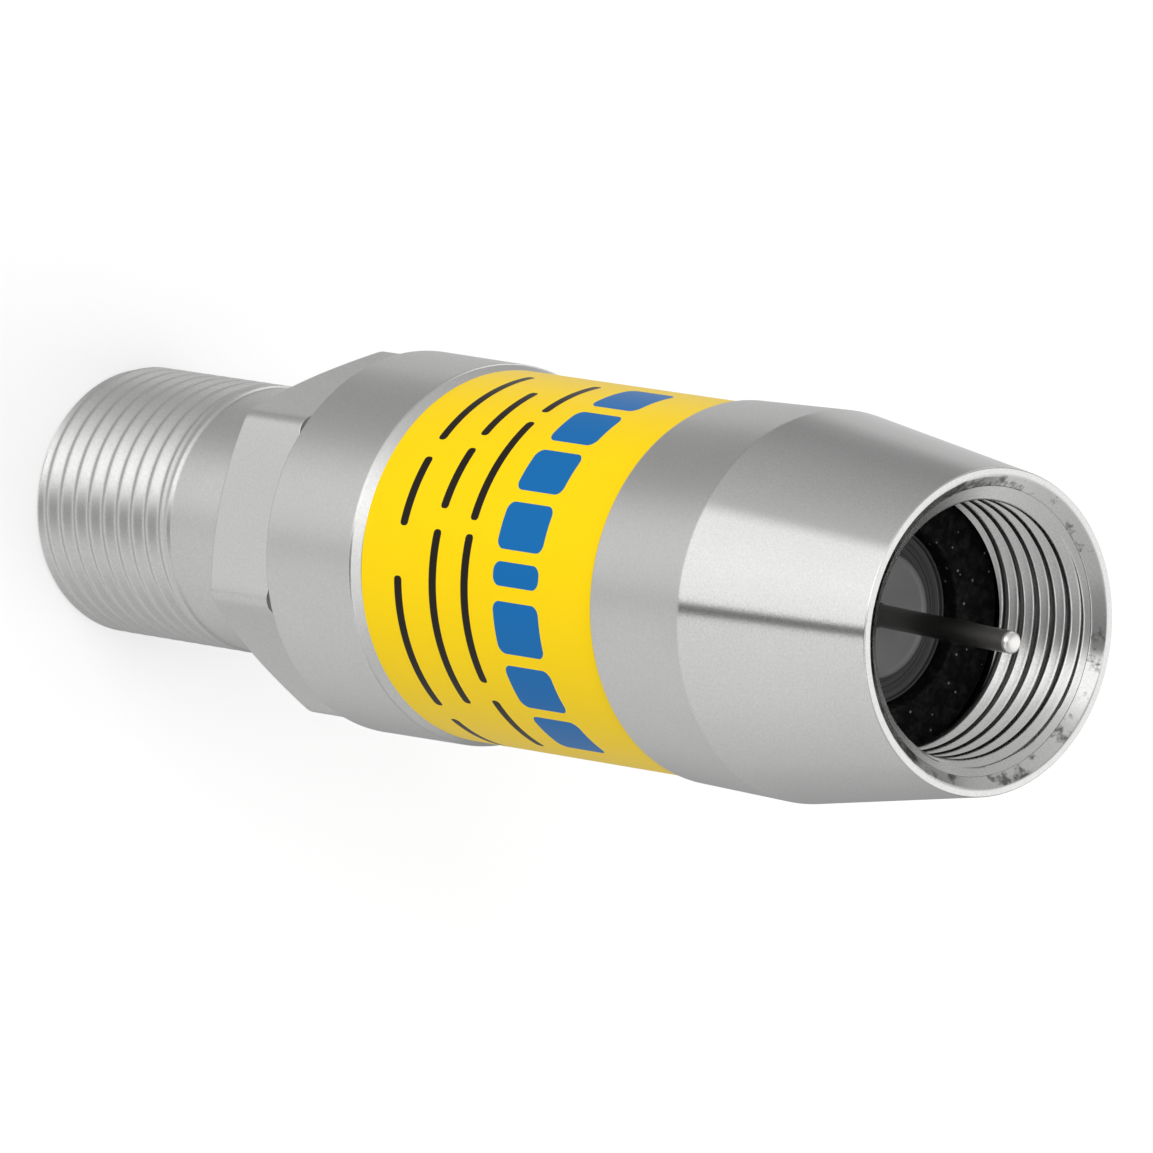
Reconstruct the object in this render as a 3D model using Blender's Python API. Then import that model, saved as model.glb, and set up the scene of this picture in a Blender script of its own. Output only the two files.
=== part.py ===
"""Coaxial antenna adapter: an inline surge arrester, standing on its female socket.

The axis is Z, with the socket's end face at Z = 0 and the male nose at the top.
Two corners of the hexagon lie on the X axis. All sizes are in metres.
"""
import math

import bmesh
import bpy

# Fit between neighbouring pieces
CLEARANCE = 0.0003

# Socket body: threaded barrel, neck, hexagon and the spigot inside the tube
THREAD_RADIUS = 0.00476
THREAD_LENGTH = 0.0074
THREAD_PITCH = 0.0254 / 32
THREAD_DEPTH = 0.00034
THREAD_ROOT_GAP = 0.00006
THREAD_ROOT_FLAT = 0.0001
THREAD_HALF_ANGLE = math.radians(30.0)
THREAD_CHAMFER = 0.00015
NECK_STEP = 0.00008
NECK_LENGTH = 0.00374
HEX_CORNER_INSET = 0.0002
HEX_LENGTH = 0.00401
HEX_FRONT_CHAMFER = 0.0002
HEX_CHAMFER_ANGLE = math.radians(30.0)
SPIGOT_LENGTH = 0.0032
SPIGOT_WALL = 0.0019
SOCKET_WALL = 0.00126
SOCKET_SHOULDER = 0.0007
SOCKET_MOUTH_DEPTH = 0.0029

# Seal between the spigot and the tube
SEAL_SECTION = 0.0008
SEAL_SETBACK = 0.0012

# Socket insulator, contact and the bead that carries the contact
SOCKET_INSULATOR_RECESS = 0.00035
SOCKET_INSULATOR_BOSS_LENGTH = 0.0015
PIN_ENTRY_RADIUS = 0.00065
PIN_ENTRY_FUNNEL = 0.00035
CONTACT_RADIUS = 0.00105
CONTACT_HOLE_RADIUS = 0.00055
CONTACT_LENGTH = 0.0062
CONTACT_SLOT_WIDTH = 0.0003
CONTACT_SLOT_LENGTH = 0.0044
CONTACT_SHANK_RADIUS = 0.0008
CONTACT_COLLAR_RADIUS = 0.0014
CONTACT_COLLAR_LENGTH = 0.0006
CONTACT_TAIL_OVERLAP = 0.0032
SUPPORT_BEAD_LENGTH = 0.002
SUPPORT_BEAD_DEPTH = 0.0022

# Main housing: tube, label recess and cone nose
TUBE_RADIUS = 0.00673
TUBE_WALL = 0.00068
TUBE_SEAT_STEP = 0.0005
REAR_LAND_LENGTH = 0.0043
REAR_LAND_TAPER = 0.00003
RECESS_FLANK = 0.0003
EDGE_BREAK = 0.0001
FRONT_LAND_LENGTH = 0.00462
FRONT_LAND_RISE = 0.00011
NOSE_FLARE = 0.00012
NOSE_LENGTH = 0.0083
RIM_WIDTH = 0.00029
RIM_CHAMFER_WIDTH = 0.00035
RIM_CHAMFER_DEPTH = 0.0004
NOSE_LEAD_STEP = 0.00019
NOSE_LEAD_DEPTH = 0.00045
NOSE_THREAD_LENGTH = 0.0038
NOSE_UNDERCUT_STEP = 0.00024
NOSE_UNDERCUT_LENGTH = 0.00205
WEB_THICKNESS = 0.0026

# Label
LABEL_SINK = 0.00017
LABEL_THICKNESS = 0.00015
LABEL_LENGTH = 0.0119

# Front insulator, its seal and the centre pin
INSULATOR_HEAD_LENGTH = 0.0013
INSULATOR_SHANK_STEP = 0.0008
INSULATOR_LEDGE_WIDTH = 0.00035
INSULATOR_LEDGE_RISE = 0.00025
INSULATOR_RING_WIDTH = 0.0006
INSULATOR_RING_RISE = 0.00015
NOSE_SEAL_WIDTH = 0.0013
NOSE_SEAL_THICKNESS = 0.0008
PIN_RADIUS = 0.00039
PIN_REACH = 0.0013
PIN_TIP_ROUND = 0.0001
PIN_COLLAR_RADIUS = 0.0012
PIN_COLLAR_LENGTH = 0.0005
PIN_TAIL_LENGTH = 0.0045

# Circuit board and what is soldered to it
BOARD_THICKNESS = 0.0008
BOARD_EDGE_GAP = 0.00094
BOARD_CORNER = 0.0006
EARTH_RING_THICKNESS = 0.0006
COIL_RADIUS = 0.0011
COIL_WIRE_RADIUS = 0.00022
COIL_TURNS = 5
COIL_LEAD = 0.0009
CHIP_LENGTH = 0.0016
CHIP_WIDTH = 0.0008
CHIP_HEIGHT = 0.0007
CHIP_INSET = 0.0016
CHIP_SETBACK = 0.0032
ARRESTER_RADIUS = 0.002
ARRESTER_CERAMIC_RADIUS = 0.0018
ARRESTER_CAP_LENGTH = 0.0004
SPRING_WIDTH = 0.002
SPRING_LENGTH = 0.0042
SPRING_THICKNESS = 0.0002
SPRING_RISE = 0.0005

# Sides of the turned pieces
LARGE_SIDES = 48
SMALL_SIDES = 24
RING_SIDES = 8

# Radii of the housing, from the tube inwards and along to the nose
REAR_LAND_RADIUS = TUBE_RADIUS - REAR_LAND_TAPER
LABEL_RADIUS = REAR_LAND_RADIUS - LABEL_SINK
FRONT_LAND_RADIUS = LABEL_RADIUS + FRONT_LAND_RISE
NOSE_EDGE_RADIUS = FRONT_LAND_RADIUS + NOSE_FLARE
RECESS_RADIUS = LABEL_RADIUS - LABEL_THICKNESS - CLEARANCE
TUBE_BORE_RADIUS = RECESS_RADIUS - TUBE_WALL
SEAT_BORE_RADIUS = TUBE_BORE_RADIUS + TUBE_SEAT_STEP
NOSE_THREAD_RADIUS = THREAD_RADIUS - THREAD_DEPTH
NOSE_UNDERCUT_RADIUS = THREAD_RADIUS + NOSE_UNDERCUT_STEP
NOSE_LEAD_RADIUS = THREAD_RADIUS + NOSE_LEAD_STEP
RIM_BORE_RADIUS = NOSE_LEAD_RADIUS + RIM_CHAMFER_WIDTH
RIM_RADIUS = RIM_BORE_RADIUS + RIM_WIDTH
INSULATOR_HEAD_RADIUS = NOSE_UNDERCUT_RADIUS - NOSE_SEAL_WIDTH - 2 * CLEARANCE
INSULATOR_SHANK_RADIUS = INSULATOR_HEAD_RADIUS - INSULATOR_SHANK_STEP
INSULATOR_RING_RADIUS = INSULATOR_HEAD_RADIUS - INSULATOR_LEDGE_WIDTH
INSULATOR_DISC_RADIUS = INSULATOR_RING_RADIUS - INSULATOR_RING_WIDTH

# Radii of the socket body
NECK_RADIUS = THREAD_RADIUS - NECK_STEP
HEX_CORNER_RADIUS = TUBE_RADIUS - HEX_CORNER_INSET
HEX_FLAT_RADIUS = HEX_CORNER_RADIUS * math.cos(math.pi / 6)
SPIGOT_RADIUS = SEAT_BORE_RADIUS - CLEARANCE
SPIGOT_BORE_RADIUS = SPIGOT_RADIUS - SPIGOT_WALL
SOCKET_MOUTH_RADIUS = THREAD_RADIUS - SOCKET_WALL
SOCKET_BORE_RADIUS = SOCKET_MOUTH_RADIUS - SOCKET_SHOULDER
SEAL_GROOVE_RADIUS = SPIGOT_RADIUS - SEAL_SECTION - CLEARANCE
TAIL_RADIUS = PIN_RADIUS

# Stations along the axis
NECK_START = THREAD_LENGTH + NECK_STEP
HEX_REAR = NECK_START + NECK_LENGTH
HEX_FRONT = HEX_REAR + HEX_LENGTH
SPIGOT_FRONT = HEX_FRONT + SPIGOT_LENGTH
TUBE_REAR = HEX_FRONT + CLEARANCE
EARTH_RING_REAR = SPIGOT_FRONT + CLEARANCE
TUBE_SEAT = EARTH_RING_REAR + EARTH_RING_THICKNESS + CLEARANCE
RECESS_REAR = TUBE_REAR + REAR_LAND_LENGTH + RECESS_FLANK
LABEL_REAR = RECESS_REAR + CLEARANCE
LABEL_FRONT = LABEL_REAR + LABEL_LENGTH
RECESS_FRONT = LABEL_FRONT + CLEARANCE
NOSE_EDGE = RECESS_FRONT + FRONT_LAND_LENGTH
RIM = NOSE_EDGE + NOSE_LENGTH
NOSE_THREAD_FRONT = RIM - NOSE_LEAD_DEPTH
NOSE_THREAD_REAR = NOSE_THREAD_FRONT - NOSE_THREAD_LENGTH
WEB_FRONT = NOSE_THREAD_REAR - NOSE_UNDERCUT_LENGTH
WEB_REAR = WEB_FRONT - WEB_THICKNESS
PIN_TIP = RIM + PIN_REACH
PIN_COLLAR_FRONT = WEB_REAR - CLEARANCE
PIN_COLLAR_REAR = PIN_COLLAR_FRONT - PIN_COLLAR_LENGTH
PIN_TAIL_REAR = PIN_COLLAR_REAR - PIN_TAIL_LENGTH
SUPPORT_SHOULDER = SPIGOT_FRONT - SUPPORT_BEAD_DEPTH - SUPPORT_BEAD_LENGTH - CLEARANCE
BOARD_REAR = EARTH_RING_REAR
BOARD_FRONT = PIN_COLLAR_REAR - CLEARANCE
BOARD_MIDDLE = (BOARD_REAR + BOARD_FRONT) / 2
CONTACT_TAIL_FRONT = BOARD_REAR + CONTACT_TAIL_OVERLAP

# Board, arrester and spring, stacked along Y from the line down to the wall of the tube
BOARD_TOP = -TAIL_RADIUS - CLEARANCE
BOARD_BOTTOM = BOARD_TOP - BOARD_THICKNESS
BOARD_REACH = TUBE_BORE_RADIUS - BOARD_EDGE_GAP
BOARD_HALF_WIDTH = math.sqrt(BOARD_REACH ** 2 - BOARD_BOTTOM ** 2)
SPRING_FOOT = -math.sqrt((TUBE_BORE_RADIUS - CLEARANCE) ** 2 - (SPRING_WIDTH / 2) ** 2)
ARRESTER_TOP = BOARD_BOTTOM - CLEARANCE
ARRESTER_BOTTOM = SPRING_FOOT + SPRING_RISE + SPRING_THICKNESS + CLEARANCE
ARRESTER_LENGTH = ARRESTER_TOP - ARRESTER_BOTTOM


def remove_everything():
    for old in list(bpy.data.objects):
        bpy.data.objects.remove(old, do_unlink=True)


def new_material(name, color, roughness, metallic=0.0):
    material = bpy.data.materials.new(name)
    material.use_nodes = True
    shader = material.node_tree.nodes["Principled BSDF"]
    shader.inputs["Base Color"].default_value = (*color, 1.0)
    shader.inputs["Roughness"].default_value = roughness
    shader.inputs["Metallic"].default_value = metallic
    return material


def add_mesh(name, bm, material, crease=math.radians(30.0)):
    """Close the bmesh into a named object, smooth apart from its creases."""
    bmesh.ops.recalc_face_normals(bm, faces=bm.faces)
    mesh = bpy.data.meshes.new(name)
    bm.to_mesh(mesh)
    bm.free()
    mesh.shade_smooth()
    mesh.set_sharp_from_angle(angle=crease)
    mesh.materials.append(material)
    obj = bpy.data.objects.new(name, mesh)
    bpy.context.scene.collection.objects.link(obj)
    return obj


def turned(name, outline, material, sides=LARGE_SIDES):
    """Spin an outline of (radius, height) points once around Z.

    An outline that starts and ends on the axis stays open there; any other
    outline is closed, which makes a ring.
    """
    bm = bmesh.new()
    corners = [bm.verts.new((radius, 0.0, height)) for radius, height in outline]
    edges = [bm.edges.new(pair) for pair in zip(corners, corners[1:])]
    on_axis = outline[0][0] == 0.0 and outline[-1][0] == 0.0
    if not on_axis:
        edges.append(bm.edges.new((corners[-1], corners[0])))
    bmesh.ops.spin(bm, geom=corners + edges, cent=(0, 0, 0), axis=(0, 0, 1), dvec=(0, 0, 0),
                   angle=2 * math.pi, steps=sides, use_merge=True)
    bmesh.ops.remove_doubles(bm, verts=bm.verts, dist=1e-7)
    return add_mesh(name, bm, material)


def block(name, low, high, material):
    """A box from its low corner to its high corner."""
    bm = bmesh.new()
    bmesh.ops.create_cube(bm, size=1.0)
    for vert in bm.verts:
        for k in range(3):
            vert.co[k] = (low[k] + high[k]) / 2 + vert.co[k] * (high[k] - low[k])
    return add_mesh(name, bm, material)


def cut(target, cutter):
    """Take the cutter away from the target, and keep it as a hidden guide."""
    cutter.hide_render = True
    cutter.display_type = "WIRE"
    boolean = target.modifiers.new(cutter.name, "BOOLEAN")
    boolean.operation = "DIFFERENCE"
    boolean.solver = "EXACT"
    boolean.object = cutter


def thread_cutter(name, root_radius, mouth_radius, low, high, rises_away):
    """A ridge wound round Z at the thread's pitch, which cuts one groove.

    Its narrow edge runs at the root radius, and its sides open towards the
    mouth radius. One that rises away leaves the metal over its last half turn.
    """
    half_root = THREAD_ROOT_FLAT / 2
    half_mouth = half_root + abs(mouth_radius - root_radius) * math.tan(THREAD_HALF_ANGLE)
    profile = [(root_radius, -half_root), (root_radius, half_root),
               (mouth_radius, half_mouth), (mouth_radius, -half_mouth)]
    steps = round((high - low) / THREAD_PITCH * LARGE_SIDES)
    half_turn = LARGE_SIDES // 2
    bm = bmesh.new()
    loops = []
    for k in range(steps + 1):
        angle = 2 * math.pi * (k + 0.5) / LARGE_SIDES
        height = low + THREAD_PITCH * k / LARGE_SIDES
        lift = 0.0
        if rises_away:
            lift = max(0.0, k - (steps - half_turn)) / half_turn * (mouth_radius - root_radius)
        loops.append([bm.verts.new(((radius + lift) * math.cos(angle),
                                    (radius + lift) * math.sin(angle), height + rise))
                      for radius, rise in profile])
    for first, second in zip(loops, loops[1:]):
        for k in range(4):
            n = (k + 1) % 4
            bm.faces.new((first[k], first[n], second[n], second[k]))
    bm.faces.new(loops[0])
    bm.faces.new(loops[-1])
    bmesh.ops.triangulate(bm, faces=bm.faces)
    return add_mesh(name, bm, new_material("thread_guide", (0.8, 0.2, 0.2), 0.5))


def make_socket_body():
    """Threaded barrel, neck, hexagon and spigot, turned from one hexagon bar."""
    metal = new_material("nickel_socket", (0.66, 0.66, 0.65), 0.3, 1.0)
    chamfer_length = (HEX_CORNER_RADIUS - HEX_FLAT_RADIUS) * math.tan(HEX_CHAMFER_ANGLE)
    groove_rear = HEX_FRONT + SEAL_SETBACK
    groove_front = groove_rear + SEAL_SECTION + 2 * CLEARANCE
    body = turned("socket_body", [
        (SOCKET_MOUTH_RADIUS, 0.0),
        (THREAD_RADIUS - THREAD_CHAMFER, 0.0),
        (THREAD_RADIUS, THREAD_CHAMFER),
        (THREAD_RADIUS, THREAD_LENGTH),
        (NECK_RADIUS, NECK_START),
        (NECK_RADIUS, HEX_REAR),
        (HEX_FLAT_RADIUS, HEX_REAR),
        (HEX_CORNER_RADIUS, HEX_REAR + chamfer_length),
        (HEX_CORNER_RADIUS, HEX_FRONT - HEX_FRONT_CHAMFER),
        (HEX_CORNER_RADIUS - HEX_FRONT_CHAMFER, HEX_FRONT),
        (SPIGOT_RADIUS, HEX_FRONT),
        (SPIGOT_RADIUS, groove_rear),
        (SEAL_GROOVE_RADIUS, groove_rear),
        (SEAL_GROOVE_RADIUS, groove_front),
        (SPIGOT_RADIUS, groove_front),
        (SPIGOT_RADIUS, SPIGOT_FRONT),
        (SPIGOT_BORE_RADIUS, SPIGOT_FRONT),
        (SPIGOT_BORE_RADIUS, SUPPORT_SHOULDER),
        (SOCKET_BORE_RADIUS, SUPPORT_SHOULDER),
        (SOCKET_BORE_RADIUS, SOCKET_MOUTH_DEPTH),
        (SOCKET_MOUTH_RADIUS, SOCKET_MOUTH_DEPTH),
    ], metal)
    cut(body, hexagon_cutter(chamfer_length))
    root_radius = THREAD_RADIUS - THREAD_DEPTH - THREAD_ROOT_GAP
    cut(body, thread_cutter("barrel_thread_cutter", root_radius, THREAD_RADIUS + EDGE_BREAK,
                            -THREAD_PITCH, THREAD_LENGTH - THREAD_PITCH / 2, True))


def hexagon_cutter(margin):
    """A thick ring with a hexagonal hole, which leaves the six flats standing."""
    low = HEX_REAR - margin
    high = HEX_FRONT + margin / 2
    bm = bmesh.new()
    loops = []
    for radius in (HEX_CORNER_RADIUS, HEX_CORNER_RADIUS * 1.5):
        for height in (low, high):
            loop = []
            for k in range(6):
                angle = k * math.pi / 3
                loop.append(bm.verts.new((radius * math.cos(angle), radius * math.sin(angle), height)))
            loops.append(loop)
    inner_low, inner_high, outer_low, outer_high = loops
    for first, second in ((inner_low, inner_high), (outer_low, outer_high),
                          (inner_low, outer_low), (inner_high, outer_high)):
        for k in range(6):
            n = (k + 1) % 6
            bm.faces.new((first[k], first[n], second[n], second[k]))
    return add_mesh("hexagon_cutter", bm, new_material("guide", (0.8, 0.2, 0.2), 0.5))


def make_body_seal():
    """Rubber ring in the spigot's groove."""
    rubber = new_material("seal_rubber", (0.02, 0.02, 0.02), 0.6)
    half = SEAL_SECTION / 2
    middle_radius = SEAL_GROOVE_RADIUS + CLEARANCE + half
    middle_height = HEX_FRONT + SEAL_SETBACK + CLEARANCE + half
    outline = []
    for k in range(RING_SIDES):
        angle = 2 * math.pi * k / RING_SIDES
        outline.append((middle_radius + half * math.cos(angle), middle_height + half * math.sin(angle)))
    turned("body_o_ring", outline, rubber, SMALL_SIDES)


def make_socket_insulator():
    """Plastic bead in the socket's mouth, with the entry for a plug's pin."""
    plastic = new_material("white_plastic", (0.85, 0.85, 0.82), 0.45)
    face = SOCKET_INSULATOR_RECESS
    flange_front = SOCKET_MOUTH_DEPTH - CLEARANCE
    boss_front = SOCKET_MOUTH_DEPTH + SOCKET_INSULATOR_BOSS_LENGTH
    flange_radius = SOCKET_MOUTH_RADIUS - CLEARANCE
    boss_radius = SOCKET_BORE_RADIUS - CLEARANCE
    guide_radius = CONTACT_RADIUS + CLEARANCE
    turned("socket_insulator", [
        (PIN_ENTRY_RADIUS + PIN_ENTRY_FUNNEL, face),
        (flange_radius, face),
        (flange_radius, flange_front),
        (boss_radius, flange_front),
        (boss_radius, boss_front),
        (guide_radius, boss_front),
        (guide_radius, SOCKET_MOUTH_DEPTH),
        (PIN_ENTRY_RADIUS, SOCKET_MOUTH_DEPTH),
        (PIN_ENTRY_RADIUS, face + PIN_ENTRY_FUNNEL),
    ], plastic)


def make_socket_contact():
    """Slotted spring sleeve, collar, shank and the tail soldered to the board."""
    bronze = new_material("contact_bronze", (0.72, 0.52, 0.28), 0.3, 1.0)
    rear = SOCKET_MOUTH_DEPTH + CLEARANCE
    sleeve_front = rear + CONTACT_LENGTH
    taper = CONTACT_RADIUS - CONTACT_SHANK_RADIUS
    collar_front = SUPPORT_SHOULDER
    collar_rear = collar_front - CONTACT_COLLAR_LENGTH
    shank_front = SUPPORT_SHOULDER + CLEARANCE + SUPPORT_BEAD_LENGTH + CLEARANCE
    contact = turned("socket_contact", [
        (0.0, sleeve_front - CONTACT_HOLE_RADIUS / 2),
        (CONTACT_HOLE_RADIUS, sleeve_front - CONTACT_HOLE_RADIUS),
        (CONTACT_HOLE_RADIUS, rear),
        (CONTACT_RADIUS - EDGE_BREAK, rear),
        (CONTACT_RADIUS, rear + EDGE_BREAK),
        (CONTACT_RADIUS, sleeve_front),
        (CONTACT_SHANK_RADIUS, sleeve_front + taper),
        (CONTACT_SHANK_RADIUS, collar_rear),
        (CONTACT_COLLAR_RADIUS, collar_rear),
        (CONTACT_COLLAR_RADIUS, collar_front),
        (CONTACT_SHANK_RADIUS, collar_front),
        (CONTACT_SHANK_RADIUS, shank_front),
        (TAIL_RADIUS, shank_front + CONTACT_SHANK_RADIUS - TAIL_RADIUS),
        (TAIL_RADIUS, CONTACT_TAIL_FRONT),
        (0.0, CONTACT_TAIL_FRONT),
    ], bronze, SMALL_SIDES)
    guide = new_material("slot_guide", (0.8, 0.2, 0.2), 0.5)
    half = CONTACT_SLOT_WIDTH / 2
    reach = 2 * CONTACT_RADIUS
    low = rear - CLEARANCE
    high = rear + CONTACT_SLOT_LENGTH
    cut(contact, block("slot_cutter_x", (-reach, -half, low), (reach, half, high), guide))
    cut(contact, block("slot_cutter_y", (-half, -reach, low), (half, reach, high), guide))


def make_support_bead():
    """Plastic bead in the spigot that carries the contact's shank."""
    plastic = new_material("bead_plastic", (0.82, 0.80, 0.74), 0.5)
    rear = SUPPORT_SHOULDER + CLEARANCE
    front = rear + SUPPORT_BEAD_LENGTH
    outer = SPIGOT_BORE_RADIUS - CLEARANCE
    inner = CONTACT_SHANK_RADIUS + CLEARANCE
    outline = [(inner, rear), (outer, rear), (outer, front), (inner, front)]
    turned("contact_support_bead", outline, plastic, SMALL_SIDES)


def make_housing():
    """Tube, label recess and cone nose, turned in one piece."""
    metal = new_material("nickel_housing", (0.70, 0.70, 0.69), 0.28, 1.0)
    head_hole = INSULATOR_HEAD_RADIUS + CLEARANCE
    shank_hole = INSULATOR_SHANK_RADIUS + CLEARANCE
    head_seat = WEB_FRONT - INSULATOR_HEAD_LENGTH
    thread_relief = NOSE_UNDERCUT_RADIUS - NOSE_THREAD_RADIUS
    lead_relief = (NOSE_LEAD_RADIUS - NOSE_THREAD_RADIUS) * math.tan(THREAD_HALF_ANGLE)
    housing = turned("main_housing", [
        (SEAT_BORE_RADIUS, TUBE_REAR),
        (TUBE_RADIUS - EDGE_BREAK, TUBE_REAR),
        (TUBE_RADIUS, TUBE_REAR + EDGE_BREAK),
        (REAR_LAND_RADIUS, RECESS_REAR - RECESS_FLANK),
        (REAR_LAND_RADIUS - RECESS_FLANK, RECESS_REAR),
        (RECESS_RADIUS, RECESS_REAR),
        (RECESS_RADIUS, RECESS_FRONT),
        (FRONT_LAND_RADIUS - EDGE_BREAK, RECESS_FRONT),
        (FRONT_LAND_RADIUS, RECESS_FRONT + EDGE_BREAK),
        (NOSE_EDGE_RADIUS, NOSE_EDGE),
        (RIM_RADIUS, RIM - EDGE_BREAK),
        (RIM_RADIUS - EDGE_BREAK, RIM),
        (RIM_BORE_RADIUS, RIM),
        (NOSE_LEAD_RADIUS, RIM - RIM_CHAMFER_DEPTH),
        (NOSE_LEAD_RADIUS, NOSE_THREAD_FRONT),
        (NOSE_THREAD_RADIUS, NOSE_THREAD_FRONT - lead_relief),
        (NOSE_THREAD_RADIUS, NOSE_THREAD_REAR),
        (NOSE_UNDERCUT_RADIUS, NOSE_THREAD_REAR - thread_relief),
        (NOSE_UNDERCUT_RADIUS, WEB_FRONT),
        (head_hole, WEB_FRONT),
        (head_hole, head_seat),
        (shank_hole, head_seat),
        (shank_hole, WEB_REAR),
        (TUBE_BORE_RADIUS, WEB_REAR),
        (TUBE_BORE_RADIUS, TUBE_SEAT),
        (SEAT_BORE_RADIUS, TUBE_SEAT),
    ], metal)
    root_radius = THREAD_RADIUS + THREAD_ROOT_GAP
    cut(housing, thread_cutter("nose_thread_cutter", root_radius, NOSE_THREAD_RADIUS - EDGE_BREAK,
                               NOSE_THREAD_REAR - THREAD_PITCH, NOSE_THREAD_FRONT + THREAD_PITCH / 2, False))


def make_label():
    """Printed film wrapped round the recess."""
    film = new_material("yellow_film", (0.98, 0.62, 0.0), 0.4)
    inner = LABEL_RADIUS - LABEL_THICKNESS
    turned("label", [
        (inner, LABEL_REAR),
        (LABEL_RADIUS, LABEL_REAR),
        (LABEL_RADIUS, LABEL_FRONT),
        (inner, LABEL_FRONT),
    ], film)


def make_front_insulator():
    """Dark stepped bead that centres the pin in the nose."""
    plastic = new_material("grey_plastic", (0.12, 0.12, 0.12), 0.5)
    hole = PIN_RADIUS + CLEARANCE
    head_rear = WEB_FRONT - INSULATOR_HEAD_LENGTH + CLEARANCE
    head_front = WEB_FRONT + CLEARANCE
    ring_front = head_front + INSULATOR_LEDGE_RISE
    disc_front = ring_front + INSULATOR_RING_RISE
    turned("front_insulator", [
        (hole, WEB_REAR),
        (INSULATOR_SHANK_RADIUS, WEB_REAR),
        (INSULATOR_SHANK_RADIUS, head_rear),
        (INSULATOR_HEAD_RADIUS, head_rear),
        (INSULATOR_HEAD_RADIUS, head_front),
        (INSULATOR_RING_RADIUS, head_front),
        (INSULATOR_RING_RADIUS, ring_front),
        (INSULATOR_DISC_RADIUS, ring_front),
        (INSULATOR_DISC_RADIUS, disc_front),
        (hole, disc_front),
    ], plastic)


def make_nose_seal():
    """Black ring that lies on the bottom of the nose."""
    rubber = new_material("nose_rubber", (0.015, 0.015, 0.015), 0.7)
    inner = INSULATOR_HEAD_RADIUS + CLEARANCE
    outer = NOSE_UNDERCUT_RADIUS - CLEARANCE
    low = WEB_FRONT + CLEARANCE
    high = low + NOSE_SEAL_THICKNESS
    turned("nose_seal_ring", [
        (inner, low),
        (outer, low),
        (outer, high - EDGE_BREAK),
        (outer - EDGE_BREAK, high),
        (inner + EDGE_BREAK, high),
        (inner, high - EDGE_BREAK),
    ], rubber)


def make_centre_pin():
    """Pin of the nose, its collar behind the web and its soldered tail."""
    metal = new_material("pin_nickel", (0.75, 0.74, 0.71), 0.25, 1.0)
    turned("centre_pin", [
        (0.0, PIN_TAIL_REAR),
        (TAIL_RADIUS, PIN_TAIL_REAR),
        (TAIL_RADIUS, PIN_COLLAR_REAR),
        (PIN_COLLAR_RADIUS, PIN_COLLAR_REAR),
        (PIN_COLLAR_RADIUS, PIN_COLLAR_FRONT),
        (PIN_RADIUS, PIN_COLLAR_FRONT),
        (PIN_RADIUS, PIN_TIP - PIN_TIP_ROUND),
        (PIN_RADIUS - PIN_TIP_ROUND, PIN_TIP),
        (0.0, PIN_TIP),
    ], metal, SMALL_SIDES)


def make_earth_ring():
    """Metal ring between spigot and tube that earths the board."""
    metal = new_material("earth_ring_tin", (0.70, 0.70, 0.68), 0.35, 1.0)
    inner = BOARD_REACH + CLEARANCE
    low = EARTH_RING_REAR
    high = low + EARTH_RING_THICKNESS
    outline = [(inner, low), (SPIGOT_RADIUS, low), (SPIGOT_RADIUS, high), (inner, high)]
    turned("earth_ring", outline, metal, SMALL_SIDES)


def make_circuit_board():
    """Board below the axis, with its four corners cut."""
    laminate = new_material("board_green", (0.02, 0.16, 0.06), 0.45)
    half = BOARD_HALF_WIDTH
    outline = []
    for x_side, z_end, order in ((-1, BOARD_REAR, 1), (1, BOARD_REAR, -1),
                                 (1, BOARD_FRONT, 1), (-1, BOARD_FRONT, -1)):
        inward = 1 if z_end == BOARD_REAR else -1
        along_edge = (x_side * half, z_end + inward * BOARD_CORNER)
        along_end = (x_side * (half - BOARD_CORNER), z_end)
        outline += [along_edge, along_end][::order]
    bm = bmesh.new()
    corners = [bm.verts.new((x, BOARD_BOTTOM, z)) for x, z in outline]
    face = bm.faces.new(corners)
    top = bmesh.ops.extrude_face_region(bm, geom=[face])
    moved = [item for item in top["geom"] if isinstance(item, bmesh.types.BMVert)]
    bmesh.ops.translate(bm, verts=moved, vec=(0.0, BOARD_THICKNESS, 0.0))
    add_mesh("circuit_board", bm, laminate)


def make_matching_coil():
    """Coil of lacquered wire in line between the contact's tail and the pin's."""
    lacquer = new_material("lacquered_copper", (0.55, 0.16, 0.05), 0.3, 0.8)
    start = CONTACT_TAIL_FRONT + CLEARANCE
    end = PIN_TAIL_REAR - CLEARANCE
    low_level = BOARD_TOP + CLEARANCE + COIL_WIRE_RADIUS
    centre = low_level + COIL_RADIUS
    coil_start = start + COIL_LEAD
    coil_length = end - start - 2 * COIL_LEAD
    steps = COIL_TURNS * 12
    path = [(0.0, low_level, start)]
    for k in range(steps + 1):
        angle = 2 * math.pi * COIL_TURNS * k / steps
        path.append((COIL_RADIUS * math.sin(angle), centre - COIL_RADIUS * math.cos(angle),
                     coil_start + coil_length * k / steps))
    path.append((0.0, low_level, end))
    curve = bpy.data.curves.new("matching_coil", "CURVE")
    curve.dimensions = "3D"
    curve.bevel_depth = COIL_WIRE_RADIUS
    curve.bevel_resolution = 2
    curve.use_fill_caps = True
    spline = curve.splines.new("POLY")
    spline.points.add(len(path) - 1)
    for point, place in zip(spline.points, path):
        point.co = (*place, 1.0)
    curve.materials.append(lacquer)
    obj = bpy.data.objects.new("matching_coil", curve)
    bpy.context.scene.collection.objects.link(obj)


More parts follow.
